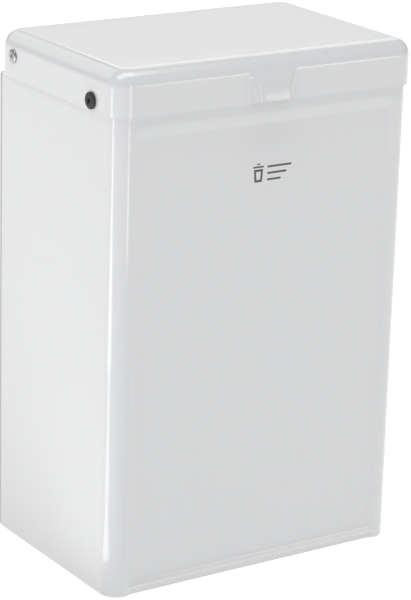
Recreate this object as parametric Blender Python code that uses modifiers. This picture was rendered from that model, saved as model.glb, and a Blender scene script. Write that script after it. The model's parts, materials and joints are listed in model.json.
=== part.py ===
"""Wall-mounted hygiene waste bin of folded sheet steel with a hinged pressed lid.

The bin hangs with its back towards a wall. +X is to the right of someone who
faces it, +Z is up and -Y is towards them. The origin is at the middle of the
bottom of the whole bin. Depths in this file are measured forwards from the
back panel's rear face, in metres, like every other size.
"""

import math

import bmesh
import bpy
from mathutils import Matrix, Vector

MM = 0.001

# Body: one wrapped sheet, a back panel and a base pan
SHEET = 1.0 * MM
GAP = 0.3 * MM
BODY_WIDTH = 212.0 * MM
BODY_DEPTH = 140.0 * MM
BODY_CORNER = 11.3 * MM
BODY_BEND = 1.5 * MM
REAR_FLANGE = 14.0 * MM
RIM_Z = 303.0 * MM
REAR_TOP_Z = 301.0 * MM
PANEL_RECESS = 1.5 * MM
BEAD_PROUD = 0.5 * MM
PANEL_RAMP = 5.7 * MM
PAN_FLANGE = 10.0 * MM
PAN_CORNER = 8.5 * MM

# Lid: a drawn cap that overhangs the body
LID_EDGE_Z = 301.0 * MM
TOP_Z = 330.0 * MM
LID_OVERHANG = 2.0 * MM
LID_REAR = -1.0 * MM
LID_TOP_ROUND = 11.5 * MM
LID_REAR_EDGE_Z = 308.2 * MM
SLOT_INNER = 104.2 * MM
SLOT_OUTER = 106.3 * MM
SLOT_DEPTH = 13.0 * MM
SLOT_TOP_Z = 324.0 * MM

# Finger pull pressed out of the lid's front skirt
PULL_HALF_WIDTH = 17.6 * MM
PULL_REACH = 6.0 * MM
PULL_RAISE = 2.0 * MM

# Hinge
HINGE_DEPTH = 20.0 * MM
HINGE_Z = 314.8 * MM
EAR_RADIUS = 7.8 * MM
RIVET_SHANK = 2.5 * MM
RIVET_HEAD = 4.2 * MM
RIVET_TAIL = 3.8 * MM
RIVET_BORE = 1.3 * MM
HINGE_HOLE = 2.8 * MM
WASHER_OUTER = 5.5 * MM
WASHER_THICKNESS = 0.4 * MM

# Rubber buffers in the lid's side skirts
BUFFER_DEPTH = 113.5 * MM
BUFFER_Z = 307.2 * MM
BUFFER_HEAD = 5.2 * MM
BUFFER_NECK = 2.7 * MM
BUFFER_BARREL = 3.9 * MM
BUFFER_HOLE = 3.0 * MM

# Wire frame that holds the bag
WIRE = 1.5 * MM
FRAME_Z = 272.0 * MM
FRAME_REAR = 8.0 * MM
FRAME_FRONT = 131.0 * MM
FRAME_HALF = 99.0 * MM
FRAME_CORNER = 10.0 * MM
BRACKET_X = 60.0 * MM
BRACKET_WIDTH = 12.0 * MM
BRACKET_EYE = 3.2 * MM
REST_X = 50.0 * MM
REST_WIDTH = 16.0 * MM

# Pads that stand the back panel off the wall
PAD_RADIUS = 7.0 * MM
PAD_HEIGHT = 2.5 * MM
PAD_X = 94.0 * MM
PAD_LOW_Z = 14.0 * MM
PAD_HIGH_Z = 284.0 * MM
ADHESIVE = 0.05 * MM

# Keyholes in the back panel
KEYHOLE_X = 70.0 * MM
KEYHOLE_Z = 230.0 * MM
KEYHOLE_HEAD = 5.0 * MM
KEYHOLE_SLOT = 2.5 * MM
KEYHOLE_RISE = 11.0 * MM

LID_HALF = BODY_WIDTH / 2 + LID_OVERHANG
LID_FRONT = BODY_DEPTH + LID_OVERHANG
LID_CORNER = BODY_CORNER + LID_OVERHANG
REAR_Y = (LID_FRONT + PULL_REACH - PAD_HEIGHT) / 2
BODY_HALF = BODY_WIDTH / 2
FLANGE_DEPTH = SHEET + GAP
PANEL_INNER = BODY_DEPTH - PANEL_RECESS - SHEET


def world(x, depth, z):
    """Return a point from its place across, its depth in front of the back panel and its height."""
    return Vector((x, REAR_Y - depth, z))


def clear_scene():
    """Remove what the file starts with."""
    for obj in list(bpy.data.objects):
        bpy.data.objects.remove(obj, do_unlink=True)
    for group in list(bpy.data.collections):
        bpy.data.collections.remove(group)


def new_collection(name):
    """Make a collection in the scene."""
    group = bpy.data.collections.new(name)
    bpy.context.scene.collection.children.link(group)
    return group


def finish(name, color, roughness, metallic):
    """Make a plain material."""
    material = bpy.data.materials.new(name)
    material.use_nodes = True
    shader = material.node_tree.nodes["Principled BSDF"]
    shader.inputs["Base Color"].default_value = (*color, 1.0)
    shader.inputs["Roughness"].default_value = roughness
    shader.inputs["Metallic"].default_value = metallic
    return material


def add_mesh(name, mesh_builder, group, material=None):
    """Turn a bmesh into a named object."""
    mesh = bpy.data.meshes.new(name)
    mesh_builder.to_mesh(mesh)
    mesh_builder.free()
    obj = bpy.data.objects.new(name, mesh)
    group.objects.link(obj)
    if material:
        mesh.materials.append(material)
    return obj


def smooth(obj, angle=40.0):
    """Shade an object smooth, with its hard edges kept sharp."""
    obj.data.shade_smooth()
    obj.data.set_sharp_from_angle(angle=math.radians(angle))


def solidify(obj, thickness=SHEET):
    """Give an open sheet its thickness, inwards."""
    modifier = obj.modifiers.new("sheet thickness", "SOLIDIFY")
    modifier.thickness = thickness
    modifier.offset = -1.0
    modifier.use_even_offset = True


def cut(obj, cutter):
    """Cut one closed shape out of an object."""
    modifier = obj.modifiers.new("cut " + cutter.name, "BOOLEAN")
    modifier.operation = "DIFFERENCE"
    modifier.object = cutter


def hide_cutter(obj):
    """Leave a cutter out of the model."""
    obj.hide_render = True
    obj.display_type = "WIRE"


def arc(center, radius, start, end, steps):
    """Return points on an arc, angles in degrees, both ends included."""
    points = []
    for step in range(steps + 1):
        angle = math.radians(start + (end - start) * step / steps)
        points.append((center[0] + radius * math.cos(angle), center[1] + radius * math.sin(angle)))
    return points


def plate(name, outlines, thickness, matrix, group, material=None):
    """Extrude flat closed outlines, the first one outside and the others holes in it."""
    curve = bpy.data.curves.new(name, "CURVE")
    curve.dimensions = "2D"
    curve.fill_mode = "BOTH"
    curve.extrude = thickness / 2
    for outline in outlines:
        spline = curve.splines.new("POLY")
        spline.points.add(len(outline) - 1)
        for point, (u, v) in zip(spline.points, outline):
            point.co = (u, v, 0.0, 1.0)
        spline.use_cyclic_u = True
    source = bpy.data.objects.new(name + " outline", curve)
    group.objects.link(source)
    bpy.context.view_layer.update()
    evaluated = source.evaluated_get(bpy.context.evaluated_depsgraph_get())
    mesh = bpy.data.meshes.new_from_object(evaluated)
    bpy.data.objects.remove(source, do_unlink=True)
    builder = bmesh.new()
    builder.from_mesh(mesh)
    bpy.data.meshes.remove(mesh)
    bmesh.ops.remove_doubles(builder, verts=builder.verts, dist=1e-6)
    builder.transform(matrix)
    bmesh.ops.recalc_face_normals(builder, faces=builder.faces)
    return add_mesh(name, builder, group, material)


def side_profile(x):
    """Return the matrix that stands an outline of (depth, height) up in a plane across X."""
    columns = (Vector((0, -1, 0)), Vector((0, 0, 1)), Vector((-1, 0, 0)))
    matrix = Matrix([[column[row] for column in columns] for row in range(3)]).to_4x4()
    return Matrix.Translation(world(x, 0, 0)) @ matrix


def front_profile(depth):
    """Return the matrix that stands an outline of (across, height) up in a plane across Y."""
    columns = (Vector((1, 0, 0)), Vector((0, 0, 1)), Vector((0, -1, 0)))
    matrix = Matrix([[column[row] for column in columns] for row in range(3)]).to_4x4()
    return Matrix.Translation(world(0, depth, 0)) @ matrix


def box(name, low, high, group):
    """Make a box cutter between two corners given as (across, depth, height)."""
    builder = bmesh.new()
    bmesh.ops.create_cube(builder, size=1.0)
    size = (high[0] - low[0], high[1] - low[1], high[2] - low[2])
    middle = world((low[0] + high[0]) / 2, (low[1] + high[1]) / 2, (low[2] + high[2]) / 2)
    matrix = Matrix.Translation(middle) @ Matrix.Diagonal((*size, 1.0))
    builder.transform(matrix)
    obj = add_mesh(name, builder, group)
    hide_cutter(obj)
    return obj


def cross_bore(name, radius, depth, z, half_length, group):
    """Make a round cutter along X."""
    builder = bmesh.new()
    bmesh.ops.create_cone(
        builder, cap_ends=True, segments=24, radius1=radius, radius2=radius, depth=2 * half_length)
    turn = Matrix.Rotation(math.radians(90), 4, "Y")
    builder.transform(Matrix.Translation(world(0, depth, z)) @ turn)
    obj = add_mesh(name, builder, group)
    hide_cutter(obj)
    return obj


def turned(name, profile, place, turn, group, material, steps=20):
    """Turn a closed (radius, reach) profile about an axis that the turn lays along the reach."""
    builder = bmesh.new()
    for radius, reach in profile:
        builder.verts.new((radius, 0.0, reach))
    builder.verts.ensure_lookup_table()
    for index in range(len(profile)):
        following = (index + 1) % len(profile)
        builder.edges.new((builder.verts[index], builder.verts[following]))
    obj = add_mesh(name, builder, group, material)
    obj.matrix_world = Matrix.Translation(place) @ turn
    screw = obj.modifiers.new("turn", "SCREW")
    screw.steps = steps
    screw.render_steps = steps
    screw.use_merge_vertices = True
    screw.merge_threshold = 0.00001
    return obj


def outwards(side):
    """Return the turn that lays a turned piece's axis along X, out of that side of the bin."""
    return Matrix.Rotation(math.radians(90.0 * side), 4, "Y")


def rounded_outline(half_width, rear, front, rear_radius, front_radius, steps):
    """Return a closed outline of (across, depth), anticlockwise seen with depth upwards."""
    outline = []
    outline += arc((half_width - rear_radius, rear + rear_radius), rear_radius, -90, 0, steps)
    outline += arc((half_width - front_radius, front - front_radius), front_radius, 0, 90, steps)
    outline += arc((front_radius - half_width, front - front_radius), front_radius, 90, 180, steps)
    outline += arc((rear_radius - half_width, rear + rear_radius), rear_radius, 180, 270, steps)
    return outline


# ---------------------------------------------------------------- body

def front_offset(z):
    """Return how far the pressed front stands proud of the body's front plane at a height."""
    stations = (
        (0.0 * MM, -PANEL_RECESS),
        (3.4 * MM, -PANEL_RECESS),
        (5.4 * MM, BEAD_PROUD),
        (10.0 * MM, -0.6 * PANEL_RECESS),
        (16.0 * MM, -PANEL_RECESS),
        (288.0 * MM, -PANEL_RECESS),
        (294.0 * MM, 0.0),
        (330.0 * MM, 0.0),
    )
    for (z0, value0), (z1, value1) in zip(stations, stations[1:]):
        if z <= z1:
            return value0 + (value1 - value0) * (z - z0) / (z1 - z0)
    return 0.0


def wrap_path():
    """Return the body sheet's plan outline, from its left rear flange round to its right one."""
    flat = BODY_HALF - BODY_CORNER
    ramp = flat - PANEL_RAMP
    right = [(0.0, BODY_DEPTH), (ramp, BODY_DEPTH), (flat, BODY_DEPTH)]
    right += arc((flat, BODY_DEPTH - BODY_CORNER), BODY_CORNER, 90, 0, 8)[1:]
    right += arc((BODY_HALF - BODY_BEND, FLANGE_DEPTH + BODY_BEND), BODY_BEND, 0, -90, 3)
    right.append((BODY_HALF - REAR_FLANGE, FLANGE_DEPTH))
    left = [(-x, depth) for x, depth in reversed(right[1:])]
    return left + right


def ear_cutter(group):
    """Make what is cut away above the body's rim, leaving a round hinge ear at each side."""
    top = TOP_Z + 0.05
    far = LID_FRONT + 0.05
    fillet = 1.6 * MM
    rear_edge = HINGE_DEPTH - EAR_RADIUS
    front_edge = HINGE_DEPTH + EAR_RADIUS
    outline = [(-0.02, top), (-0.02, REAR_TOP_Z)]
    outline += arc((rear_edge - fillet, REAR_TOP_Z + fillet), fillet, -90, 0, 4)
    outline += arc((HINGE_DEPTH, HINGE_Z), EAR_RADIUS, 180, 0, 20)
    front_fillet = 2 * fillet
    outline += arc((front_edge + front_fillet, RIM_Z + front_fillet), front_fillet, 180, 270, 5)
    outline += [(far, RIM_Z), (far, top)]
    cutter = plate("rim cutter", [outline], 0.3, side_profile(0), group)
    hide_cutter(cutter)
    return cutter


def build_body_wrap(parts, cutters, material):
    """Build the front and sides, folded from one sheet with a pressed front panel."""
    heights = [0.0, 3.4, 5.4, 10.0, 16.0, 60.0, 110.0, 160.0, 210.0, 260.0, 288.0, 294.0, 299.0, 327.0]
    flat = BODY_HALF - BODY_CORNER
    builder = bmesh.new()
    rows = []
    for height in heights:
        z = height * MM
        row = []
        for x, depth in wrap_path():
            pressed = front_offset(z) if abs(x) <= flat - PANEL_RAMP + 1e-9 else 0.0
            row.append(builder.verts.new(world(x, depth + pressed, z)))
        rows.append(row)
    for low, high in zip(rows, rows[1:]):
        for index in range(len(low) - 1):
            builder.faces.new((low[index], low[index + 1], high[index + 1], high[index]))
    obj = add_mesh("body_wrap", builder, parts, material)
    solidify(obj)
    cut(obj, ear_cutter(cutters))
    cut(obj, cross_bore("ear bore", HINGE_HOLE, HINGE_DEPTH, HINGE_Z, 0.12, cutters))
    smooth(obj)
    return obj


def keyhole(x, z):
    """Return a keyhole's outline, with its slot above its head."""
    neck = math.degrees(math.acos(KEYHOLE_SLOT / KEYHOLE_HEAD))
    outline = arc((x, z), KEYHOLE_HEAD, 180 - neck, 360 + neck, 16)
    outline += arc((x, z + KEYHOLE_RISE), KEYHOLE_SLOT, 0, 180, 8)
    return outline


def build_back_panel(parts, material):
    """Build the flat panel that lies against the wall."""
    corner = 1.5 * MM
    outline = []
    outline += arc((corner - BODY_HALF, corner), corner, 180, 270, 3)
    outline += arc((BODY_HALF - corner, corner), corner, 270, 360, 3)
    outline += arc((BODY_HALF - corner, REAR_TOP_Z - corner), corner, 0, 90, 3)
    outline += arc((corner - BODY_HALF, REAR_TOP_Z - corner), corner, 90, 180, 3)
    holes = [keyhole(x, KEYHOLE_Z) for x in (-KEYHOLE_X, KEYHOLE_X)]
    return plate("back_panel", [outline, *holes], SHEET, front_profile(SHEET / 2), parts, material)


def build_wall_pad(name, x, z, parts, material):
    """Build one pad stuck to the rear of the back panel."""
    chamfer = 0.5 * MM
    profile = [
        (0.0, PAD_HEIGHT),
        (PAD_RADIUS - chamfer, PAD_HEIGHT),
        (PAD_RADIUS, PAD_HEIGHT - chamfer),
        (PAD_RADIUS, ADHESIVE),
        (0.0, ADHESIVE),
    ]
    turn = Matrix.Rotation(math.radians(-90.0), 4, "X")
    obj = turned(name, profile, world(x, 0, z), turn, parts, material, steps=24)
    drop_axis_edge(obj)


def build_base_pan(parts, material):
    """Build the floor, a shallow pan whose flanges are welded to the wrap."""
    half = BODY_HALF - SHEET - GAP
    rear = FLANGE_DEPTH + SHEET + GAP
    front = PANEL_INNER - GAP
    bend = 1.2 * MM
    rings = ((bend, 0.0), (0.0, bend), (0.0, PAN_FLANGE))
    builder = bmesh.new()
    loops = []
    for inset, z in rings:
        outline = rounded_outline(half - inset, rear + inset, front - inset, 2.5 * MM, PAN_CORNER, 6)
        loops.append([builder.verts.new(world(x, depth, z)) for x, depth in outline])
    for low, high in zip(loops, loops[1:]):
        for index in range(len(low)):
            following = (index + 1) % len(low)
            builder.faces.new((low[index], low[following], high[following], high[index]))
    builder.faces.new(list(reversed(loops[0])))
    bmesh.ops.recalc_face_normals(builder, faces=builder.faces)
    obj = add_mesh("base_pan", builder, parts, material)
    solidify(obj)
    smooth(obj)
    return obj


# ---------------------------------------------------------------- lid

def interpolate(stations, place):
    """Return the value at a place between stations of (place, value)."""
    for (start, value0), (end, value1) in zip(stations, stations[1:]):
        if place <= end:
            return value0 + (value1 - value0) * max(0.0, place - start) / (end - start)
    return stations[-1][1]


def pull_flank(x):
    """Return the finger pull's share of its reach at a place across: straight flanks, a flat crest."""
    stations = ((0.0, 0.0), (2.8, 0.42), (5.5, 0.80), (7.0, 0.92), (9.0, 0.975), (12.5, 0.995), (17.6, 1.0))
    return interpolate(stations, (PULL_HALF_WIDTH - abs(x)) / MM)


def pull_shoulder(z):
    """Return the finger pull's share of its reach at a height: it leans out, under a round shoulder."""
    stations = ((301.0, 1.0), (311.0, 0.76), (313.0, 0.69), (315.0, 0.54), (316.8, 0.36), (318.5, 0.19),
                (321.5, 0.0))
    return interpolate(stations, z / MM)


def build_lid(parts, cutters, material):
    """Build the lid: a drawn cap with a finger pull, and slots that clear the body's ears."""
    builder = bmesh.new()
    bmesh.ops.create_cube(builder, size=1.0)
    depth = LID_FRONT - LID_REAR
    height = TOP_Z - LID_EDGE_Z
    middle = world(0, LID_REAR + depth / 2, LID_EDGE_Z + height / 2)
    size = Matrix.Diagonal((2 * LID_HALF, depth, height, 1.0))
    builder.transform(Matrix.Translation(middle) @ size)
    upright = [edge for edge in builder.edges if abs(edge.verts[0].co.z - edge.verts[1].co.z) > height / 2]
    bmesh.ops.bevel(
        builder, geom=upright, offset=LID_CORNER, offset_type="OFFSET", segments=7, profile=0.5,
        affect="EDGES")
    rim = [edge for edge in builder.edges if min(v.co.z for v in edge.verts) > TOP_Z - 1e-5]
    bmesh.ops.bevel(
        builder, geom=rim, offset=LID_TOP_ROUND, offset_type="OFFSET", segments=6, profile=0.5,
        affect="EDGES")
    bottom = [face for face in builder.faces if face.normal.z < -0.9]
    bmesh.ops.delete(builder, geom=bottom, context="FACES")
    press_finger_pull(builder)
    obj = add_mesh("lid", builder, parts, material)
    solidify(obj)
    bore = 0.12
    reach = SLOT_INNER + 0.4 * MM
    cut(obj, box("rear skirt cutter", (-reach, -0.01, LID_EDGE_Z - 0.01),
                 (reach, LID_REAR + 7 * MM, LID_REAR_EDGE_Z), cutters))
    for side, place in ((-1, "left"), (1, "right")):
        across = sorted((side * SLOT_INNER, side * SLOT_OUTER))
        cut(obj, box(f"{place} slot cutter", (across[0], -0.01, LID_EDGE_Z - 0.01),
                     (across[1], SLOT_DEPTH, SLOT_TOP_Z), cutters))
    cut(obj, cross_bore("lid hinge bore", HINGE_HOLE, HINGE_DEPTH, HINGE_Z, bore, cutters))
    cut(obj, cross_bore("buffer bore", BUFFER_HOLE, BUFFER_DEPTH, BUFFER_Z, bore, cutters))
    smooth(obj)
    return obj


def press_finger_pull(builder):
    """Divide the middle of the lid's front and press the finger pull out of it."""
    front_y = world(0, LID_FRONT, 0).y
    edge_offsets = (0.0, 2.8, 5.5, 7.0, 9.0, 12.5)
    columns = [0.0]
    for offset in edge_offsets:
        columns.append(PULL_HALF_WIDTH - offset * MM)
        columns.append(offset * MM - PULL_HALF_WIDTH)
    for x in sorted(columns):
        divide(builder, front_y, (x, 0, 0), (1, 0, 0))
    for height in (303.5, 306.0, 308.5, 311.0, 313.0, 315.0, 316.8):
        divide(builder, front_y, (0, 0, height * MM), (0, 0, 1))
    limit = TOP_Z - LID_TOP_ROUND + 3.5 * MM
    for vert in builder.verts:
        if vert.co.y > front_y + 1 * MM or vert.co.z > limit or abs(vert.co.x) > PULL_HALF_WIDTH:
            continue
        flank = pull_flank(vert.co.x)
        height = vert.co.z
        low = max(0.0, 1.0 - (height - LID_EDGE_Z) / (10 * MM))
        vert.co.y -= PULL_REACH * flank * pull_shoulder(height)
        vert.co.z += PULL_RAISE * flank * low


def divide(builder, front_y, point, normal):
    """Divide the lid's front faces, between the corners, along a plane."""
    faces = []
    for face in builder.faces:
        middle = face.calc_center_median()
        if middle.y < front_y + LID_TOP_ROUND and face.normal.y < -0.1 and abs(middle.x) < LID_HALF - LID_CORNER:
            faces.append(face)
    edges = list({edge for face in faces for edge in face.edges})
    verts = list({vert for face in faces for vert in face.verts})
    bmesh.ops.bisect_plane(builder, geom=faces + edges + verts, plane_co=point, plane_no=normal)


def build_hinge(side, parts, rivet_material, washer_material):
    """Build one side's hinge rivet and the washer between the lid's skirt and the ear."""
    place = "left" if side < 0 else "right"
    lid_outer = LID_OVERHANG
    head_under = lid_outer + GAP
    head_top = head_under + 1.2 * MM
    ear_inner = -SHEET
    tail_under = ear_inner - GAP
    tail_end = tail_under - 1.0 * MM
    rivet = [
        (RIVET_BORE, tail_end),
        (RIVET_TAIL - 0.4 * MM, tail_end),
        (RIVET_TAIL, tail_end + 0.4 * MM),
        (RIVET_TAIL, tail_under),
        (RIVET_SHANK, tail_under),
        (RIVET_SHANK, head_under),
        (RIVET_HEAD, head_under),
        (RIVET_HEAD, head_under + 0.4 * MM),
        (0.75 * RIVET_HEAD, head_top - 0.2 * MM),
        (0.5 * RIVET_HEAD, head_top),
        (RIVET_BORE, head_top),
    ]
    seat = world(side * BODY_HALF, HINGE_DEPTH, HINGE_Z)
    turned(f"hinge_rivet_{place}", rivet[::-1], seat, outwards(side), parts, rivet_material)
    washer = [
        (HINGE_HOLE, GAP),
        (WASHER_OUTER, GAP),
        (WASHER_OUTER, GAP + WASHER_THICKNESS),
        (HINGE_HOLE, GAP + WASHER_THICKNESS),
    ]
    turned(f"hinge_washer_{place}", washer[::-1], seat, outwards(side), parts, washer_material)


def build_buffer(side, parts, material):
    """Build a rubber buffer; its barrel rests on the body's rim when the lid is shut."""
    place = "left" if side < 0 else "right"
    skirt_outer = LID_OVERHANG + GAP
    skirt_inner = LID_OVERHANG - SHEET - GAP
    barrel_end = -5.0 * MM
    profile = [
        (0.0, barrel_end),
        (BUFFER_BARREL - 1.2 * MM, barrel_end),
        (BUFFER_BARREL - 0.2 * MM, barrel_end + 1.5 * MM),
        (BUFFER_BARREL, skirt_inner - 0.5 * MM),
        (BUFFER_BARREL, skirt_inner),
        (BUFFER_NECK, skirt_inner),
        (BUFFER_NECK, skirt_outer),
        (BUFFER_HEAD, skirt_outer),
        (BUFFER_HEAD, skirt_outer + 0.7 * MM),
        (BUFFER_HEAD - 0.8 * MM, skirt_outer + 1.5 * MM),
        (1.9 * MM, skirt_outer + 1.8 * MM),
        (1.4 * MM, skirt_outer + 1.0 * MM),
        (0.0, skirt_outer + 0.9 * MM),
    ]
    seat = world(side * BODY_HALF, BUFFER_DEPTH, BUFFER_Z)
    obj = turned(f"lid_buffer_{place}", profile[::-1], seat, outwards(side), parts, material)
    drop_axis_edge(obj)


def drop_axis_edge(obj):
    """Open a profile along its own axis, so that the turned shape closes at its poles."""
    builder = bmesh.new()
    builder.from_mesh(obj.data)
    on_axis = [edge for edge in builder.edges if all(abs(v.co.x) < 1e-9 for v in edge.verts)]
    bmesh.ops.delete(builder, geom=on_axis, context="EDGES_FACES")
    builder.to_mesh(obj.data)
    builder.free()


# ---------------------------------------------------------------- bag frame

def build_bag_frame(parts, material):
    """Build the wire frame on an empty at its hinge, the rear bar."""
    pivot = bpy.data.objects.new("bag_frame_pivot", None)
    pivot.location = world(0, FRAME_REAR, FRAME_Z)
    parts.objects.link(pivot)
    outline = rounded_outline(FRAME_HALF, 0.0, FRAME_FRONT - FRAME_REAR, FRAME_CORNER, FRAME_CORNER, 6)
    curve = bpy.data.curves.new("bag_frame", "CURVE")
    curve.dimensions = "3D"
    curve.bevel_depth = WIRE
    curve.bevel_resolution = 2
    spline = curve.splines.new("POLY")
    spline.points.add(len(outline) - 1)
    for point, (x, depth) in zip(spline.points, outline):
        point.co = (x, -depth, 0.0, 1.0)
    spline.use_cyclic_u = True
    obj = bpy.data.objects.new("bag_frame", curve)
    obj.parent = pivot
    parts.objects.link(obj)
    curve.materials.append(material)
    return obj


def build_brackets(side, parts, material):
    """Build one side's rear eye bracket and front rest for the bag frame."""
    place = "left" if side < 0 else "right"
    foot = SHEET + GAP
    arm = 2.9 * MM
    reach = math.degrees(math.asin(arm / BRACKET_EYE))
    eye = (FRAME_REAR, FRAME_Z)
    outline = [(foot, FRAME_Z - 16 * MM), (foot + SHEET, FRAME_Z - 16 * MM), (foot + SHEET, FRAME_Z - arm)]
    outline += arc(eye, BRACKET_EYE, reach - 180, 180 - reach, 16)
    outline.append((foot, FRAME_Z + arm))
    hole = arc(eye, WIRE + GAP, 0, 345, 23)
    plate(f"frame_bracket_{place}", [outline, hole], BRACKET_WIDTH, side_profile(side * BRACKET_X),
          parts, material)
    back = PANEL_INNER - GAP
    lip = FRAME_Z - WIRE - GAP
    rest = [
        (back, lip - 14 * MM),
        (back, lip),
        (FRAME_FRONT - 3.5 * MM, lip),
        (FRAME_FRONT - 3.5 * MM, lip - SHEET),
        (back - SHEET, lip - SHEET),
        (back - SHEET, lip - 14 * MM),
    ]
    plate(f"frame_rest_{place}", [rest], REST_WIDTH, side_profile(side * REST_X), parts, material)


def main():
    """Build the bin."""
    clear_scene()
    parts = new_collection("hygiene_waste_bin")
    cutters = new_collection("cutters")
    white = (0.80, 0.80, 0.79)
    build_body_wrap(parts, cutters, finish("body enamel", white, 0.25, 0.0))
    build_back_panel(parts, finish("back enamel", white, 0.3, 0.0))
    build_base_pan(parts, finish("base enamel", white, 0.3, 0.0))
    for side, place in ((-1, "left"), (1, "right")):
        for height, z in (("low", PAD_LOW_Z), ("high", PAD_HIGH_Z)):
            pad = finish(f"{height} {place} pad rubber", (0.03, 0.03, 0.03), 0.7, 0.0)
            build_wall_pad(f"wall_pad_{height}_{place}", side * PAD_X, z, parts, pad)
    build_lid(parts, cutters, finish("lid enamel", white, 0.25, 0.0))
    frame_wire = finish("zinc plated wire", (0.60, 0.60, 0.58), 0.35, 1.0)
    build_bag_frame(parts, frame_wire)
    for side, place in ((-1, "left"), (1, "right")):
        rivet = finish(f"{place} rivet steel", (0.55, 0.54, 0.52), 0.35, 1.0)
        washer = finish(f"{place} washer nylon", (0.75, 0.75, 0.72), 0.5, 0.0)
        build_hinge(side, parts, rivet, washer)
        build_buffer(side, parts, finish(f"{place} buffer rubber", (0.02, 0.02, 0.02), 0.6, 0.0))
        build_brackets(side, parts, finish(f"{place} bracket zinc", (0.58, 0.58, 0.56), 0.4, 1.0))


main()
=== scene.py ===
"""A white wall-mounted hygiene waste bin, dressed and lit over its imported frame.

The bin's body is one folded sheet with a pressed front, closed by a back panel and a base
pan. A drawn lid with a finger pull turns on two rivets, meets the rim with two rubber
buffers and covers a hinged wire frame that holds the bag. +Z is up and -Y is towards the user.
"""

import json
import logging
import math
from dataclasses import dataclass
from enum import Enum

import bmesh
import bpy
from mathutils import Matrix, Vector

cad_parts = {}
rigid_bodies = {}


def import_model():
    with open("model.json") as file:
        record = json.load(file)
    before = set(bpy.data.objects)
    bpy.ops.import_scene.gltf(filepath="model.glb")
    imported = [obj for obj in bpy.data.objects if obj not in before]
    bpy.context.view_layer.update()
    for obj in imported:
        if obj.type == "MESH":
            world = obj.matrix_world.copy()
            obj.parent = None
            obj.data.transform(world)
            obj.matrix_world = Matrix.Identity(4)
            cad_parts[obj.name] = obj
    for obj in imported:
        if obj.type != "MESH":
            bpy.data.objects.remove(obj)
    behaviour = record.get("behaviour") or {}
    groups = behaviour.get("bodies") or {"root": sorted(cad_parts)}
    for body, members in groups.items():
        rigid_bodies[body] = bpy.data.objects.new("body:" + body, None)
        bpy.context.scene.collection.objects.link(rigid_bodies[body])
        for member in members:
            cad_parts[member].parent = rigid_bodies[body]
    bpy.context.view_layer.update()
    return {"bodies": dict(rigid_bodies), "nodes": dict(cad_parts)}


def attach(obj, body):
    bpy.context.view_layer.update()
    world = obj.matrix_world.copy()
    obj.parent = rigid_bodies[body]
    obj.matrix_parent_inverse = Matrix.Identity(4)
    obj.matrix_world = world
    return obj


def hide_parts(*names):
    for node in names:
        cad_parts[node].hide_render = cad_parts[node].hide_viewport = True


LOG = logging.getLogger("bin")
MM = 0.001
REAR_Y = 72.75 * MM
ENAMEL_WHITE = (0.73, 0.736, 0.746)

Station = tuple[float, float]

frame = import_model()


def at(x: float, depth: float, z: float) -> Vector:
    """Return a point from its place across, its depth before the back panel and its height."""
    return Vector((x, REAR_Y - depth, z))


def ease(stations: tuple[Station, ...], place: float) -> float:
    """Follow a smooth curve through stations without overshooting them.

    Args:
        stations: Pairs of place and value, in rising order of place.
        place: Where the value is wanted.

    Returns:
        The value there, held level beyond the ends.
    """
    if place <= stations[0][0]:
        return stations[0][1]
    if place >= stations[-1][0]:
        return stations[-1][1]
    slopes = [(b[1] - a[1]) / (b[0] - a[0]) for a, b in zip(stations, stations[1:])]
    tangents = [slopes[0]]
    for before, after in zip(slopes, slopes[1:]):
        tangents.append(0.0 if before * after <= 0 else 2 * before * after / (before + after))
    tangents.append(slopes[-1])
    index = max(i for i in range(len(slopes)) if stations[i][0] <= place)
    (x0, y0), (x1, y1) = stations[index], stations[index + 1]
    span = x1 - x0
    t = (place - x0) / span
    return ((2 * t**3 - 3 * t**2 + 1) * y0 + (t**3 - 2 * t**2 + t) * span * tangents[index]
            + (3 * t**2 - 2 * t**3) * y1 + (t**3 - t**2) * span * tangents[index + 1])


# ---------------------------------------------------------------- shader and geometry nodes


class Value:
    """A number on a node's socket that Python's operators work on."""

    def __init__(self, sheet: "NodeSheet", socket: bpy.types.NodeSocket) -> None:
        """Keep the socket and the sheet that its nodes go on."""
        self.sheet = sheet
        self.socket = socket

    def _math(self, operation: str, first: "Value | float", *others: "Value | float") -> "Value":
        """Add one Math node.

        Args:
            operation: Blender's name of the operation.
            first: What goes into its first socket.
            others: What goes into the sockets after it.

        Returns:
            The node's result.
        """
        inputs = dict(enumerate((first, *others)))
        node = self.sheet.add("ShaderNodeMath", {"operation": operation}, inputs)
        return Value(self.sheet, node.outputs[0])

    def __add__(self, other: "Value | float") -> "Value":
        """Return the sum."""
        return self._math("ADD", self, other)

    def __radd__(self, other: float) -> "Value":
        """Return the sum."""
        return self._math("ADD", other, self)

    def __sub__(self, other: "Value | float") -> "Value":
        """Return the difference."""
        return self._math("SUBTRACT", self, other)

    def __rsub__(self, other: float) -> "Value":
        """Return the difference from a number."""
        return self._math("SUBTRACT", other, self)

    def __mul__(self, other: "Value | float") -> "Value":
        """Return the product."""
        return self._math("MULTIPLY", self, other)

    def __rmul__(self, other: float) -> "Value":
        """Return the product."""
        return self._math("MULTIPLY", other, self)

    def __truediv__(self, other: "Value | float") -> "Value":
        """Return the quotient."""
        return self._math("DIVIDE", self, other)

    def __rtruediv__(self, other: float) -> "Value":
        """Return a number divided by this."""
        return self._math("DIVIDE", other, self)

    def __abs__(self) -> "Value":
        """Return the size without its sign."""
        return self._math("ABSOLUTE", self)

    def least(self, other: "Value | float") -> "Value":
        """Return the smaller of two."""
        return self._math("MINIMUM", self, other)

    def most(self, other: "Value | float") -> "Value":
        """Return the larger of two."""
        return self._math("MAXIMUM", self, other)

    def held(self) -> "Value":
        """Return the value held between 0 and 1."""
        return self.least(1.0).most(0.0)


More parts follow.
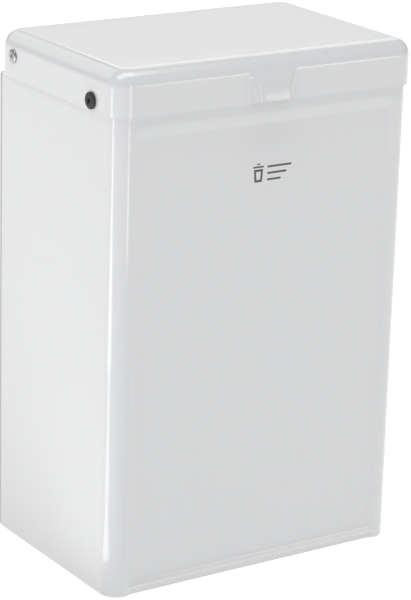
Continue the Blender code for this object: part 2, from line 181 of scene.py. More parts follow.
class NodeSheet:
    """A node tree that nodes are added to in one way."""

    def __init__(self, tree: bpy.types.NodeTree) -> None:
        """Keep the tree."""
        self.tree = tree

    def add(self, kind: str, settings: dict | None = None,
            inputs: dict | None = None) -> bpy.types.Node:
        """Add a node of any kind.

        Args:
            kind: Blender's type name.
            settings: Its properties, set before its sockets.
            inputs: Socket names or numbers to values, sockets or nodes.

        Returns:
            The new node.
        """
        node = self.tree.nodes.new(kind)
        for name, setting in (settings or {}).items():
            setattr(node, name, setting)
        for key, source in (inputs or {}).items():
            self.join(source, node.inputs[key])
        return node

    def join(self, source: object, target: bpy.types.NodeSocket) -> None:
        """Link a value, socket or node to a socket, or set the socket to a constant."""
        if isinstance(source, Value):
            source = source.socket
        if isinstance(source, bpy.types.Node):
            source = source.outputs[0]
        if isinstance(source, bpy.types.NodeSocket):
            self.tree.links.new(source, target)
        else:
            target.default_value = source

    def value(self, node: bpy.types.Node, output: int | str = 0) -> Value:
        """Wrap one of a node's outputs."""
        return Value(self, node.outputs[output])


# ---------------------------------------------------------------- finishes


@dataclass(frozen=True)
class Finish:
    """A surface finish with a fine pattern and small irregularities.

    Attributes:
        name: The material's name.
        color: Base colour, linear.
        roughness: Mean roughness.
        metallic: 0 for paint, rubber and plastic, 1 for bare metal.
        spread: How far the roughness varies to each side.
        mottle: How far the colour varies to each side, as a share.
        grain: Width of the surface grain in metres.
        relief: Height of the surface grain in metres.
        coat: Weight of a clear gloss layer.
        coat_roughness: How rough that layer is.
        patch: Typical width of the patches of colour in metres.
        scuff: Typical width of the patches of roughness in metres.
    """

    name: str
    color: tuple[float, float, float]
    roughness: float
    metallic: float = 0.0
    spread: float = 0.03
    mottle: float = 0.01
    grain: float = 1.2 * MM
    relief: float = 0.01 * MM
    coat: float = 0.0
    coat_roughness: float = 0.08
    patch: float = 45 * MM
    scuff: float = 9 * MM

    def build(self) -> bpy.types.Material:
        """Make the material.

        Returns:
            The finished material.
        """
        material = bpy.data.materials.new(self.name)
        material.use_nodes = True
        sheet = NodeSheet(material.node_tree)
        shader = material.node_tree.nodes["Principled BSDF"]
        place = sheet.add("ShaderNodeTexCoord").outputs["Object"]
        patches = self.noise(sheet, place, self.patch, 3.0)
        scuffs = self.noise(sheet, place, self.scuff, 4.0)
        sheet.join(self.paint(sheet, place, patches), shader.inputs["Base Color"])
        rough = self.roughness + (scuffs - 0.5) * (2 * self.spread)
        sheet.join(self.wear(sheet, place, rough), shader.inputs["Roughness"])
        shader.inputs["Metallic"].default_value = self.metallic
        shader.inputs["Coat Weight"].default_value = self.coat
        shader.inputs["Coat Roughness"].default_value = self.coat_roughness
        bump = sheet.add("ShaderNodeBump", None, {
            "Strength": 1.0, "Distance": self.relief, "Height": self.texture(sheet, place)})
        sheet.join(bump, shader.inputs["Normal"])
        return material

    @staticmethod
    def noise(sheet: NodeSheet, place: bpy.types.NodeSocket, width: float,
              detail: float) -> Value:
        """Add a noise pattern.

        Args:
            sheet: The material's nodes.
            place: Coordinates in metres.
            width: Typical width of its patches in metres.
            detail: Octaves of finer noise.

        Returns:
            The noise, around 0.5.
        """
        node = sheet.add("ShaderNodeTexNoise", None, {
            "Vector": place, "Scale": 1 / width, "Detail": detail, "Roughness": 0.5})
        return sheet.value(node, "Fac")

    def paint(self, sheet: NodeSheet, place: bpy.types.NodeSocket,
              patches: Value) -> bpy.types.NodeSocket:
        """Return the base colour, slightly uneven."""
        dark = tuple(part * (1 - self.mottle) for part in self.color)
        light = tuple(min(1.0, part * (1 + self.mottle)) for part in self.color)
        return mixed(sheet, patches, (*dark, 1.0), (*light, 1.0))

    def wear(self, sheet: NodeSheet, place: bpy.types.NodeSocket, rough: Value) -> Value:
        """Return the roughness; a finish that wears changes it here."""
        return rough

    def texture(self, sheet: NodeSheet, place: bpy.types.NodeSocket) -> Value:
        """Return the height of the surface grain."""
        return self.noise(sheet, place, self.grain, 2.0)


def mixed(sheet: NodeSheet, share: "Value | float", first: object,
          second: object) -> bpy.types.NodeSocket:
    """Mix two colours.

    Args:
        sheet: The material's nodes.
        share: How much of the second, 0 to 1.
        first: A colour or a colour socket.
        second: A colour or a colour socket.

    Returns:
        The mixed colour's socket.
    """
    node = sheet.add("ShaderNodeMix", {"data_type": "RGBA"}, {0: share, 6: first, 7: second})
    return node.outputs[2]


@dataclass(frozen=True)
class PowderCoat(Finish):
    """Gloss powder coat, with the soft orange peel that it dries with.

    Attributes:
        swell_width: Width of the peel's broad swells, in widths of its grain.
        swell_share: How much of its height the broad swells have.
    """

    swell_width: float = 3.2
    swell_share: float = 0.65

    def texture(self, sheet: NodeSheet, place: bpy.types.NodeSocket) -> Value:
        """Return orange peel: broad soft swells with a finer grain over them."""
        swell = self.noise(sheet, place, self.swell_width * self.grain, 1.0)
        peel = self.noise(sheet, place, self.grain, 1.0)
        return swell * self.swell_share + peel * (1 - self.swell_share)


@dataclass(frozen=True)
class Bar:
    """A printed bar with round ends, in metres in the front panel's plane.

    Attributes:
        x: Its middle across.
        z: Its middle height.
        half_width: Half its length, round ends included.
        half_height: Half its thickness.
        edge: How wide its soft edge is.
    """

    x: float
    z: float
    half_width: float
    half_height: float
    edge: float = 0.25 * MM

    def cover(self, sheet: NodeSheet, across: Value, up: Value) -> Value:
        """Return 1 under the bar's ink and 0 outside it."""
        flat = self.half_width - self.half_height
        side = (abs(across - self.x) - flat).most(0.0)
        rise = abs(up - self.z)
        reach = side * side + rise * rise
        return ((self.half_height**2 - reach) / (self.edge * self.half_height) + 0.5).held()


@dataclass(frozen=True)
class PrintedCoat(PowderCoat):
    """Powder coat that carries a small printed mark: a bin pictogram beside three plain bars.

    Attributes:
        ink: Colour of the print, linear.
        front_y: The print is only on faces in front of this place.
        pail_x: The pail's middle across.
        pail_z: The pail's middle height.
        pail_foot: Height at which its half width is measured.
        pail_half_width: Half its width there.
        pail_half_height: Half its height.
        pail_taper: How much its half width grows with height.
        line: Half the thickness of its outline.
        edge: How wide the print's soft edge is.
    """

    ink: tuple[float, float, float] = (0.045, 0.047, 0.055)
    front_y: float = REAR_Y - 138.0 * MM
    pail_x: float = -5.6 * MM
    pail_z: float = 255.2 * MM
    pail_foot: float = 251.0 * MM
    pail_half_width: float = 2.7 * MM
    pail_half_height: float = 4.0 * MM
    pail_taper: float = 0.08
    line: float = 0.75 * MM
    edge: float = 0.22 * MM

    def paint(self, sheet: NodeSheet, place: bpy.types.NodeSocket,
              patches: Value) -> bpy.types.NodeSocket:
        """Return the coat's colour with the mark on the front panel's outer face only."""
        base = super().paint(sheet, place, patches)
        apart = sheet.add("ShaderNodeSeparateXYZ", None, {0: place})
        across, depth, up = (sheet.value(apart, index) for index in range(3))
        pail_lid = Bar(self.pail_x, 260.6 * MM, 3.9 * MM, 0.55 * MM)
        pail_knob = Bar(self.pail_x, 262.3 * MM, 1.3 * MM, 0.40 * MM)
        text_bars = (
            Bar(9.6 * MM, 260.2 * MM, 8.8 * MM, 0.65 * MM),
            Bar(7.9 * MM, 256.2 * MM, 7.1 * MM, 0.65 * MM),
            Bar(5.9 * MM, 252.2 * MM, 5.1 * MM, 0.65 * MM),
        )
        cover = pail_lid.cover(sheet, across, up)
        for bar in (pail_knob, *text_bars):
            cover = cover.most(bar.cover(sheet, across, up))
        taper = (up - self.pail_foot) * self.pail_taper
        inward = self.pail_half_width + taper - abs(across - self.pail_x)
        pail = inward.least(self.pail_half_height - abs(up - self.pail_z))
        outline = self.line - abs(pail - self.line)
        cover = cover.most((outline / self.edge + 0.5).held())
        outside = ((self.front_y - depth) / (0.05 * MM)).held()
        return mixed(sheet, cover * outside, base, (*self.ink, 1.0))


@dataclass(frozen=True)
class BrightMetal(Finish):
    """Turned or drawn metal with fine lines along one axis.

    Attributes:
        lines: Axis number that the fine lines run along.
        stretch: How much the grain is squeezed along that axis to make lines of it.
    """

    lines: int = 0
    stretch: float = 0.06

    def texture(self, sheet: NodeSheet, place: bpy.types.NodeSocket) -> Value:
        """Return fine drawn lines."""
        scale = [1.0, 1.0, 1.0]
        scale[self.lines] = self.stretch
        drawn = sheet.add("ShaderNodeMapping", None, {"Vector": place, "Scale": tuple(scale)})
        return self.noise(sheet, drawn.outputs[0], self.grain, 3.0)


@dataclass(frozen=True)
class MouldedRubber(Finish):
    """Moulded rubber, with a matt bloom over its grain.

    Attributes:
        bloom: Colour of the bloom, linear.
        bloom_width: Typical width of its patches in metres.
        bloom_share: How much it covers where it is thickest.
    """

    bloom: tuple[float, float, float] = (0.09, 0.09, 0.09)
    bloom_width: float = 2.5 * MM
    bloom_share: float = 0.35

    def paint(self, sheet: NodeSheet, place: bpy.types.NodeSocket,
              patches: Value) -> bpy.types.NodeSocket:
        """Return near black with a faint grey bloom."""
        cover = ((self.noise(sheet, place, self.bloom_width, 4.0) - 0.5) * 3.0).held()
        base = super().paint(sheet, place, patches)
        return mixed(sheet, cover * self.bloom_share, base, (*self.bloom, 1.0))


class Finishes(Enum):
    """The finishes that the bin is made in."""

    COAT = PowderCoat("white powder coat", ENAMEL_WHITE, 0.2, spread=0.03, mottle=0.006,
                      grain=1.3 * MM, relief=0.006 * MM, coat=0.9)
    PRINTED = PrintedCoat("white powder coat with mark", ENAMEL_WHITE, 0.2, spread=0.03,
                          mottle=0.006, grain=1.3 * MM, relief=0.006 * MM, coat=0.9)
    BACK = PowderCoat("white powder coat on flat panels", ENAMEL_WHITE, 0.22, spread=0.04,
                      mottle=0.01, grain=1.6 * MM, relief=0.01 * MM)
    WIRE = BrightMetal("zinc plated wire", (0.62, 0.63, 0.62), 0.28, metallic=1.0, spread=0.08,
                       mottle=0.04, grain=0.8 * MM, relief=0.01 * MM, lines=0)
    PLATE = BrightMetal("zinc plated sheet", (0.58, 0.60, 0.60), 0.36, metallic=1.0, spread=0.1,
                        mottle=0.08, grain=1.5 * MM, relief=0.008 * MM, lines=2)
    RIVET = BrightMetal("bright rivet steel", (0.50, 0.50, 0.49), 0.22, metallic=1.0, spread=0.06,
                        mottle=0.05, grain=0.5 * MM, relief=0.006 * MM, lines=0)
    NYLON = Finish("natural nylon", (0.74, 0.73, 0.68), 0.45, spread=0.05, mottle=0.02,
                   grain=0.6 * MM, relief=0.01 * MM)
    RUBBER = MouldedRubber("black moulded rubber", (0.018, 0.018, 0.019), 0.52, spread=0.08,
                           mottle=0.1, grain=0.35 * MM, relief=0.012 * MM)

    def material(self) -> bpy.types.Material:
        """Return the finish's material, made the first time it is asked for."""
        found = bpy.data.materials.get(self.value.name)
        return found or self.value.build()


# ---------------------------------------------------------------- mesh helpers


def new_object(name: str, builder: bmesh.types.BMesh) -> bpy.types.Object:
    """Turn a bmesh into an object at the origin."""
    mesh = bpy.data.meshes.new(name)
    builder.to_mesh(mesh)
    builder.free()
    obj = bpy.data.objects.new(name, mesh)
    bpy.context.scene.collection.objects.link(obj)
    return obj


def divide(builder: bmesh.types.BMesh, faces: list[bmesh.types.BMFace],
           point: tuple[float, float, float], normal: tuple[float, float, float]) -> None:
    """Divide some faces along a plane, always in the same order.

    Args:
        builder: The mesh that they belong to.
        faces: The faces to divide.
        point: A point on the plane.
        normal: The plane's normal.
    """
    edges = dict.fromkeys(edge for face in faces for edge in face.edges)
    verts = dict.fromkeys(vert for face in faces for vert in face.verts)
    bmesh.ops.bisect_plane(
        builder, geom=[*faces, *edges, *verts], plane_co=point, plane_no=normal)


def settle(obj: bpy.types.Object) -> None:
    """Turn an object's modifiers into plain mesh."""
    before = obj.data
    plain = bpy.data.meshes.new_from_object(
        obj.evaluated_get(bpy.context.evaluated_depsgraph_get()))
    obj.modifiers.clear()
    obj.data = plain
    bpy.data.meshes.remove(before)
    plain.name = obj.name


def finished(obj: bpy.types.Object, finish: Finishes, sharp: float) -> bpy.types.Object:
    """Even out a piece's normals, keep its hard edges and dress it.

    Args:
        obj: The object to finish.
        finish: What it is made in.
        sharp: Edges that turn more than this, in degrees, stay hard.

    Returns:
        The same object.
    """
    obj.data.shade_smooth()
    obj.data.set_sharp_from_angle(angle=math.radians(sharp))
    even = obj.modifiers.new("even normals", "WEIGHTED_NORMAL")
    even.keep_sharp = True
    even.weight = 60
    settle(obj)
    obj.data.materials.clear()
    obj.data.materials.append(finish.material())
    return obj


def thicken(obj: bpy.types.Object, thickness: float) -> None:
    """Give a sheet its thickness, inwards."""
    wall = obj.modifiers.new("sheet", "SOLIDIFY")
    wall.thickness = thickness
    wall.offset = -1.0
    wall.use_even_offset = True


def cut(obj: bpy.types.Object, tool: bpy.types.Object) -> None:
    """Cut a closed tool out of an object and throw the tool away."""
    knife = obj.modifiers.new("cut", "BOOLEAN")
    knife.operation = "DIFFERENCE"
    knife.object = tool
    settle(obj)
    bpy.data.objects.remove(tool, do_unlink=True)


def block(low: tuple[float, float, float], high: tuple[float, float, float]) -> bpy.types.Object:
    """Make a box tool between two corners given as (across, depth, height)."""
    builder = bmesh.new()
    bmesh.ops.create_cube(builder, size=1.0)
    size = [high[i] - low[i] for i in range(3)]
    middle = at(*((low[i] + high[i]) / 2 for i in range(3)))
    builder.transform(Matrix.Translation(middle) @ Matrix.Diagonal((*size, 1.0)))
    return new_object("tool", builder)


def cross_bar(radius: float, depth: float, z: float) -> bpy.types.Object:
    """Make a round tool that runs through the bin from side to side."""
    length = 260 * MM
    builder = bmesh.new()
    bmesh.ops.create_cone(
        builder, cap_ends=True, segments=48, radius1=radius, radius2=radius, depth=length)
    lying = Matrix.Rotation(math.radians(90), 4, "Y")
    builder.transform(Matrix.Translation(at(0, depth, z)) @ lying)
    return new_object("tool", builder)


def arc(center: Station, radius: float, start: float, end: float, steps: int) -> list[Station]:
    """Return points on an arc, angles in degrees, both ends included."""
    points = []
    for step in range(steps + 1):
        angle = math.radians(start + (end - start) * step / steps)
        points.append((center[0] + radius * math.cos(angle), center[1] + radius * math.sin(angle)))
    return points


def lathe(name: str, profile: list[Station], segments: int) -> bpy.types.Object:
    """Turn a profile about the X axis.

    Args:
        name: The object's name.
        profile: (radius, reach along +X) from the inner end to the outer end.
        segments: Steps round the axis.

    Returns:
        A closed turned object whose seat is the origin.
    """
    builder = bmesh.new()
    rings = []
    for radius, reach in profile:
        if radius < 1e-6:
            rings.append([builder.verts.new((reach, 0, 0))])
            continue
        angles = [2 * math.pi * step / segments for step in range(segments)]
        rings.append([builder.verts.new((reach, radius * math.cos(a), radius * math.sin(a)))
                      for a in angles])
    closed = len(rings[0]) > 1
    pairs = list(zip(rings, rings[1:] + ([rings[0]] if closed else [])))
    for low, high in pairs:
        for step in range(segments):
            after = (step + 1) % segments
            corners = [low[step % len(low)], low[after % len(low)],
                       high[after % len(high)], high[step % len(high)]]
            builder.faces.new(list(dict.fromkeys(corners)))
    bmesh.ops.recalc_face_normals(builder, faces=builder.faces)
    return new_object(name, builder)


# ---------------------------------------------------------------- geometry nodes


@dataclass
class NodeTool:
    """A geometry node tree with named inputs, used once and turned into plain mesh.

    Attributes:
        name: The tree's name.
        inputs: Names of the inputs to their socket types.
        sharp: Edges of the piece that turn more than this, in degrees, stay hard.
    """

    name: str
    inputs: dict[str, str]
    sharp: float = 38.0

    def __post_init__(self) -> None:
        """Make the tree, its sockets and its two end nodes."""
        self.tree = bpy.data.node_groups.new(self.name, "GeometryNodeTree")
        self.tree.interface.new_socket(
            name="Geometry", in_out="OUTPUT", socket_type="NodeSocketGeometry")
        self.keys = {}
        for name, kind in self.inputs.items():
            item = self.tree.interface.new_socket(name=name, in_out="INPUT", socket_type=kind)
            self.keys[name] = item.identifier
        self.sheet = NodeSheet(self.tree)
        self.given = self.sheet.add("NodeGroupInput")

    def close(self, shape: bpy.types.NodeSocket) -> None:
        """End the tree: make instances real, smooth them and give them their material."""
        real = self.sheet.add("GeometryNodeRealizeInstances", None, {"Geometry": shape})
        smooth = self.sheet.add("GeometryNodeSetShadeSmooth", None, {"Geometry": real})
        dressed = self.sheet.add("GeometryNodeSetMaterial", None, {
            "Geometry": smooth, "Material": self.given.outputs["Material"]})
        self.sheet.add("NodeGroupOutput", None, {"Geometry": dressed})

    def run(self, name: str, values: dict[str, object]) -> bpy.types.Object:
        """Run the tree.

        Args:
            name: Name of the piece to make.
            values: A value for each named input.

        Returns:
            The piece, as plain mesh at the origin.
        """
        holder = new_object(name, bmesh.new())
        modifier = holder.modifiers.new(self.name, "NODES")
        modifier.node_group = self.tree
        for key, value in values.items():
            modifier[self.keys[key]] = value
        holder.update_tag()
        bpy.context.view_layer.update()
        settle(holder)
        holder.data.set_sharp_from_angle(angle=math.radians(self.sharp))
        return holder


def mirrored_pair_tool() -> NodeTool:
    """Make the tree that sets one turned piece at both sides of the bin, facing outwards."""
    tool = NodeTool("pair of turned pieces", {
        "Piece": "NodeSocketObject", "Half Width": "NodeSocketFloat", "Place": "NodeSocketVector",
        "Material": "NodeSocketMaterial"})
    sheet = tool.sheet
    index = sheet.value(sheet.add("GeometryNodeInputIndex"))
    side = index * 2.0 - 1.0
    across = side * sheet.value(tool.given, "Half Width")
    offset = sheet.add("ShaderNodeCombineXYZ", None, {"X": across})
    place = sheet.add("ShaderNodeVectorMath", {"operation": "ADD"}, {
        0: offset, 1: tool.given.outputs["Place"]})
    points = sheet.add("GeometryNodePoints", None, {"Count": 2, "Position": place})
    turn = sheet.add("ShaderNodeCombineXYZ", None, {"Z": (1.0 - index) * math.pi})
    piece = sheet.add("GeometryNodeObjectInfo", None, {"Object": tool.given.outputs["Piece"]})
    placed = sheet.add("GeometryNodeInstanceOnPoints", None, {
        "Points": points, "Instance": piece.outputs["Geometry"], "Rotation": turn})
    tool.close(placed.outputs[0])
    return tool


def row_tool() -> NodeTool:
    """Make the tree that repeats one small piece along two upright rows."""
    tool = NodeTool("two rows of marks", {
        "Piece": "NodeSocketObject", "Count": "NodeSocketInt", "Start": "NodeSocketVector",
        "Pitch": "NodeSocketVector", "Between Rows": "NodeSocketVector",
        "Material": "NodeSocketMaterial"})
    sheet = tool.sheet
    given = tool.given
    rows = []
    for number in range(2):
        gap = sheet.add("ShaderNodeVectorMath", {"operation": "SCALE"}, {
            0: given.outputs["Between Rows"], "Scale": float(number)})
        start = sheet.add("ShaderNodeVectorMath", {"operation": "ADD"}, {
            0: given.outputs["Start"], 1: gap})
        rows.append(sheet.add("GeometryNodeMeshLine", {"mode": "OFFSET"}, {
            "Count": given.outputs["Count"], "Start Location": start,
            "Offset": given.outputs["Pitch"]}))
    both = sheet.add("GeometryNodeJoinGeometry")
    for row in rows:
        sheet.join(row, both.inputs[0])
    piece = sheet.add("GeometryNodeObjectInfo", None, {"Object": given.outputs["Piece"]})
    placed = sheet.add("GeometryNodeInstanceOnPoints", None, {
        "Points": both, "Instance": piece.outputs["Geometry"]})
    tool.close(placed.outputs[0])
    return tool


def wire_loop_tool() -> NodeTool:
    """Make the tree that bends a round wire into a flat loop with round corners."""
    tool = NodeTool("bent wire loop", {
        "Width": "NodeSocketFloat", "Depth": "NodeSocketFloat", "Corner": "NodeSocketFloat",
        "Wire": "NodeSocketFloat", "Centre": "NodeSocketVector", "Material": "NodeSocketMaterial"})
    sheet = tool.sheet
    given = tool.given
    loop = sheet.add("GeometryNodeCurvePrimitiveQuadrilateral", None, {
        "Width": given.outputs["Width"], "Height": given.outputs["Depth"]})
    bent = sheet.add("GeometryNodeFilletCurve", {"mode": "POLY"}, {
        "Curve": loop, "Radius": given.outputs["Corner"], "Count": 14})
    moved = sheet.add("GeometryNodeTransform", None, {
        "Geometry": bent, "Translation": given.outputs["Centre"]})
    round_wire = sheet.add("GeometryNodeCurvePrimitiveCircle", None, {
        "Radius": given.outputs["Wire"], "Resolution": 24})
    solid = sheet.add("GeometryNodeCurveToMesh", None, {
        "Curve": moved, "Profile Curve": round_wire})
    tool.close(solid.outputs[0])
    return tool


# ---------------------------------------------------------------- sub-assemblies


@dataclass
class Body:
    """The folded body with its pressed front, its panels and what is fixed to them."""

    half_width: float = 106.0 * MM
    depth: float = 140.0 * MM
    corner: float = 11.3 * MM
    sheet: float = 1.0 * MM
    rim: float = 303.0 * MM
    rear_top: float = 301.0 * MM
    recess: float = 1.5 * MM
    ramp: float = 5.7 * MM
    flange: float = 14.0 * MM
    bend: float = 1.5 * MM
    hinge_depth: float = 20.0 * MM
    hinge_z: float = 314.8 * MM
    ear: float = 7.8 * MM
    rivet_hole: float = 2.8 * MM
    seat_gap: float = 0.3 * MM
    weld_count: int = 7
    weld_low: float = 38 * MM
    weld_pitch: float = 36 * MM
    weld_inset: float = 7.5 * MM

    def pressed(self, x: float, z: float) -> float:
        """Return how far the front stands proud of its own plane at a place."""
        stations = (
            (0.0, -self.recess),
            (3.7 * MM, -self.recess),
            (4.1 * MM, -0.85 * self.recess),
            (5.1 * MM, 0.38 * MM),
            (5.6 * MM, 0.42 * MM),
            (6.6 * MM, 0.10 * MM),
            (8.8 * MM, -0.70 * MM),
            (12.0 * MM, -1.30 * MM),
            (16.0 * MM, -self.recess),
            (286.4 * MM, -self.recess),
            (290.8 * MM, -0.70 * MM),
            (295.2 * MM, 0.0),
            (330.0 * MM, 0.0),
        )
        flat = self.half_width - self.corner
        share = min(1.0, max(0.0, (flat - abs(x)) / self.ramp))
        return ease(stations, z) * share * share * (3 - 2 * share)

    def plan(self) -> list[Station]:
        """Return the sheet's outline seen from above, from left rear flange to right one."""
        flat = self.half_width - self.corner
        ramp_steps = 8
        right = [(0.0, self.depth), (0.5 * flat, self.depth), (flat - self.ramp, self.depth)]
        for step in range(1, ramp_steps):
            right.append((flat - self.ramp * (1 - step / ramp_steps), self.depth))
        right += arc((flat, self.depth - self.corner), self.corner, 90, 0, 20)
        seat = self.sheet + self.seat_gap
        right += arc((self.half_width - self.bend, seat + self.bend), self.bend, 0, -90, 6)
        right.append((self.half_width - self.flange, seat))
        return [(-x, depth) for x, depth in reversed(right[1:])] + right

    def levels(self) -> list[float]:
        """Return the heights that the sheet is divided at, closest where it bends."""
        low = [0.0, 2.0, 3.4, 3.7, 3.9, 4.1, 4.35, 4.6, 4.85, 5.1, 5.35, 5.6, 6.0, 6.6, 7.3, 8.0,
               8.8, 10.0, 11.0, 12.0, 13.5, 16.0, 30.0]
        middle = [60.0 + 45.0 * step for step in range(5)]
        high = [270.0, 285.0]
        high += [286.4 + 0.8 * step for step in range(12)]
        high += [297.0, 299.0, 305.0, 312.0, 327.0]
        return [height * MM for height in low + middle + high]

    def wrap(self) -> bpy.types.Object:
        """Build the front and sides.

        Returns:
            The visible body sheet, which stands for the frame's plainer one.
        """
        builder = bmesh.new()
        rows = []
        for z in self.levels():
            front = self.depth - 1e-6
            row = [(x, d + (self.pressed(x, z) if d > front else 0.0)) for x, d in self.plan()]
            rows.append([builder.verts.new(at(x, d, z)) for x, d in row])
        for low, high in zip(rows, rows[1:]):
            for index in range(len(low) - 1):
                builder.faces.new((low[index], low[index + 1], high[index + 1], high[index]))
        obj = new_object("body_sheet", builder)
        thicken(obj, self.sheet)
        cut(obj, self.rim_tool())
        cut(obj, cross_bar(self.rivet_hole, self.hinge_depth, self.hinge_z))
        finished(obj, Finishes.PRINTED, sharp=40.0)
        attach(obj, "bin")
        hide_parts("body_wrap")
        return obj

    def rim_tool(self) -> bpy.types.Object:
        """Make the tool that trims the sheet's top and leaves a round hinge ear at each side."""
        rear = self.hinge_depth - self.ear
        front = self.hinge_depth + self.ear
        rear_fillet = 1.6 * MM
        front_fillet = 2 * rear_fillet
        behind, ahead, above, aside = -20 * MM, 200 * MM, 380 * MM, 150 * MM
        outline = [(behind, above), (behind, self.rear_top)]
        outline += arc((rear - rear_fillet, self.rear_top + rear_fillet), rear_fillet, -90, 0, 6)
        outline += arc((self.hinge_depth, self.hinge_z), self.ear, 180, 0, 40)
        outline += arc((front + front_fillet, self.rim + front_fillet), front_fillet, 180, 270, 8)
        outline += [(ahead, self.rim), (ahead, above)]
        builder = bmesh.new()
        ends = []
        for x in (-aside, aside):
            ends.append([builder.verts.new(at(x, depth, z)) for depth, z in outline])
        for index in range(len(outline)):
            after = (index + 1) % len(outline)
            builder.faces.new((ends[0][index], ends[0][after], ends[1][after], ends[1][index]))
        for end in ends:
            builder.faces.new(end)
        bmesh.ops.recalc_face_normals(builder, faces=builder.faces)
        return new_object("tool", builder)

    def weld_marks(self, tool: NodeTool) -> list[bpy.types.Object]:
        """Build the shallow spot weld marks on the back panel, outside and inside."""
        pieces = []
        row_x = self.half_width - self.weld_inset
        inner_depth = self.sheet * 2 + self.seat_gap
        for name, depth, outwards in (("outer", 0.0, 1.0), ("inner", inner_depth, -1.0)):
            mark = self.weld_mark(outwards)
            obj = tool.run(f"weld_marks_{name}", {
                "Piece": mark, "Count": self.weld_count, "Start": at(-row_x, depth, self.weld_low),
                "Pitch": Vector((0, 0, self.weld_pitch)),
                "Between Rows": Vector((2 * row_x, 0, 0)), "Material": Finishes.BACK.material()})
            bpy.data.objects.remove(mark, do_unlink=True)
            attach(obj, "bin")
            pieces.append(obj)
        return pieces

    @staticmethod
    def weld_mark(outwards: float) -> bpy.types.Object:
        """Make one ring-shaped weld mark that stands a fraction of a millimetre proud."""
        profile = [(0.0, -0.02 * MM), (3.1 * MM, -0.02 * MM), (2.9 * MM, 0.1 * MM),
                   (2.4 * MM, 0.16 * MM), (2.0 * MM, 0.1 * MM), (1.6 * MM, 0.04 * MM),
                   (0.0, 0.03 * MM)]
        obj = lathe("weld_mark", profile, 20)
        obj.data.transform(Matrix.Rotation(math.radians(90 * outwards), 4, "Z"))
        return obj

    def dress(self) -> None:
        """Give the frame's flat panels, washers, brackets, rests and pads their finishes."""
        dressing = {
            "back_panel": Finishes.BACK, "base_pan": Finishes.BACK,
            "frame_bracket_left": Finishes.PLATE, "frame_bracket_right": Finishes.PLATE,
            "frame_rest_left": Finishes.PLATE, "frame_rest_right": Finishes.PLATE,
            "hinge_washer_left": Finishes.NYLON, "hinge_washer_right": Finishes.NYLON,
            "wall_pad_low_left": Finishes.RUBBER, "wall_pad_low_right": Finishes.RUBBER,
            "wall_pad_high_left": Finishes.RUBBER, "wall_pad_high_right": Finishes.RUBBER,
        }
        for node, finish in dressing.items():
            mesh = frame["nodes"][node].data
            mesh.materials.clear()
            mesh.materials.append(finish.material())
            LOG.info("%s in %s", node, finish.value.name)


